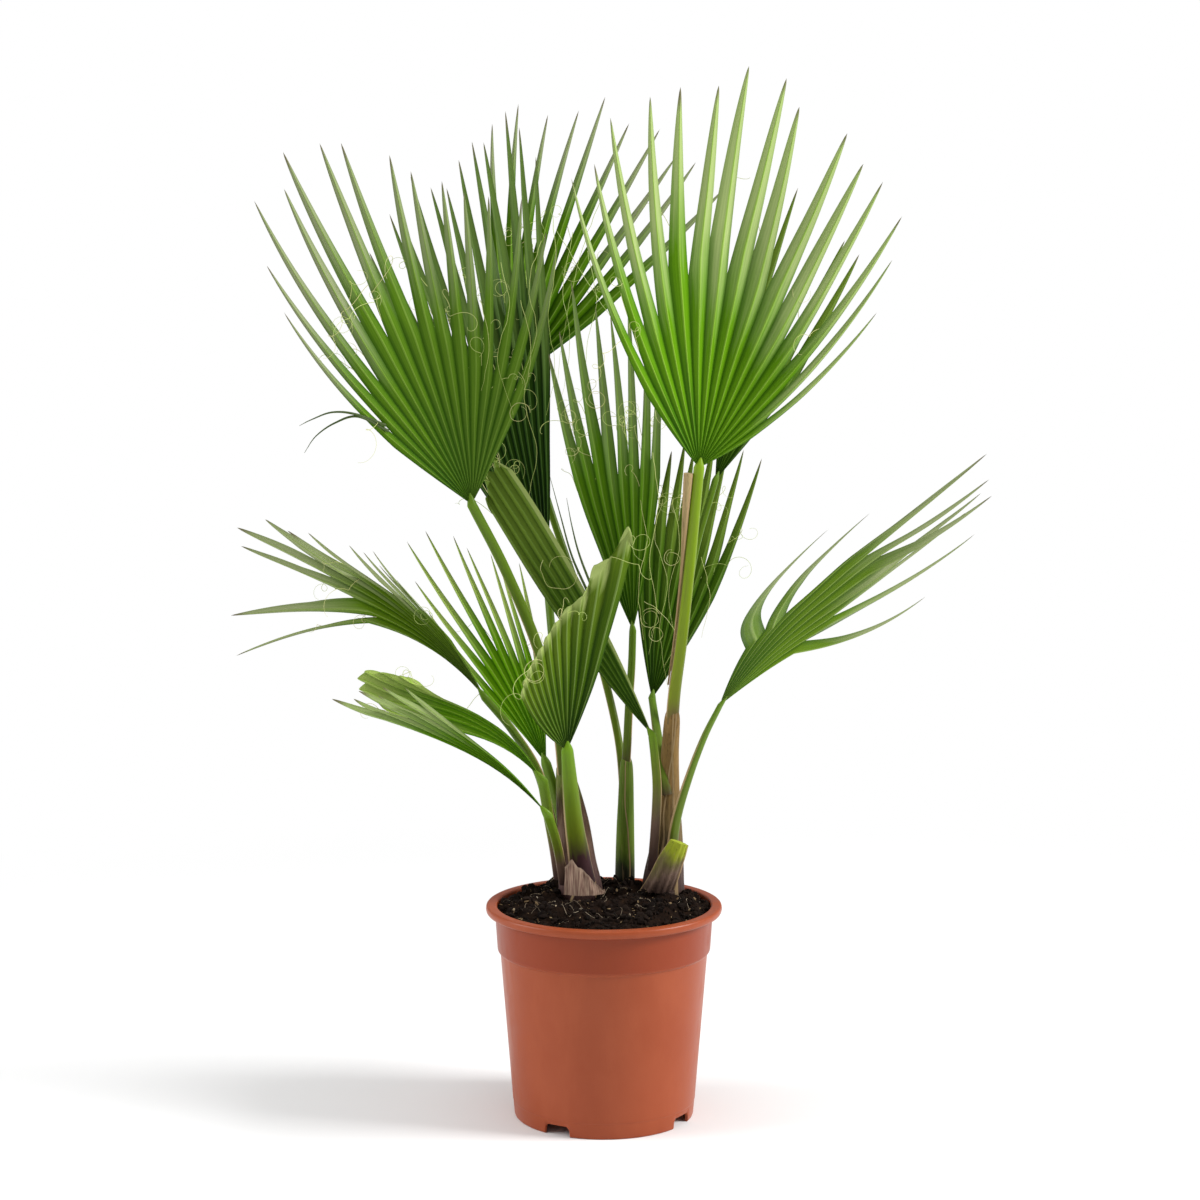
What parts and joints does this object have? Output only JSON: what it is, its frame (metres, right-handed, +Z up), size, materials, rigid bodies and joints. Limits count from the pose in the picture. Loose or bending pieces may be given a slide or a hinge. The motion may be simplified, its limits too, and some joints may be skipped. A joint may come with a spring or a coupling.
{
  "type": "potted mexican fan palm",
  "caption": "Young fan palms with stiff pleated fan leaves on upright stalks, growing from soil in a round terracotta-coloured plastic nursery pot.",
  "frame": {"origin": "middle of the pot's foot on the surface it stands on, below the centre of the whole plant's box", "axes": "+Z up, -Y towards the front that the picture shows, +X to the right seen from the front"},
  "size_m": [0.6585, 0.3513, 0.9191],
  "materials": {
    "terracotta": "injection-moulded plastic, satin, even terracotta colour",
    "peat": "dark crumbly peat with pale bits",
    "bark": "purple-brown leaf bases and fibrous stem",
    "leaf": "waxy bright green pleated leaf, paler ribs, grey-green sheen",
    "leaf_deep": "waxy deep green pleated leaf, paler ribs",
    "stub": "cut leaf stalk, yellow-green above and brown below",
    "straw": "dry tan fibrous sheath",
    "husk": "papery grey-brown dead leaf base"
  },
  "bodies": {
    "root": {"pot": "terracotta", "soil": "peat", "stem_left": "bark", "stem_middle": "bark", "stem_right": "bark", "cut_stub": "stub", "dry_sheath": "straw", "husk": "husk", "frond_right_high": "leaf", "frond_left_high": "leaf", "frond_left_back": "leaf_deep", "frond_middle_back": "leaf_deep", "frond_middle_front": "leaf_deep", "frond_right_back": "leaf_deep", "frond_left_folded": "leaf", "frond_left_arching": "leaf", "frond_left_inner": "leaf", "frond_left_broad": "leaf", "frond_left_low": "leaf", "frond_right_arching": "leaf", "frond_right_inner": "leaf_deep", "frond_right_folded": "leaf_deep"}
  },
  "joints": []
}
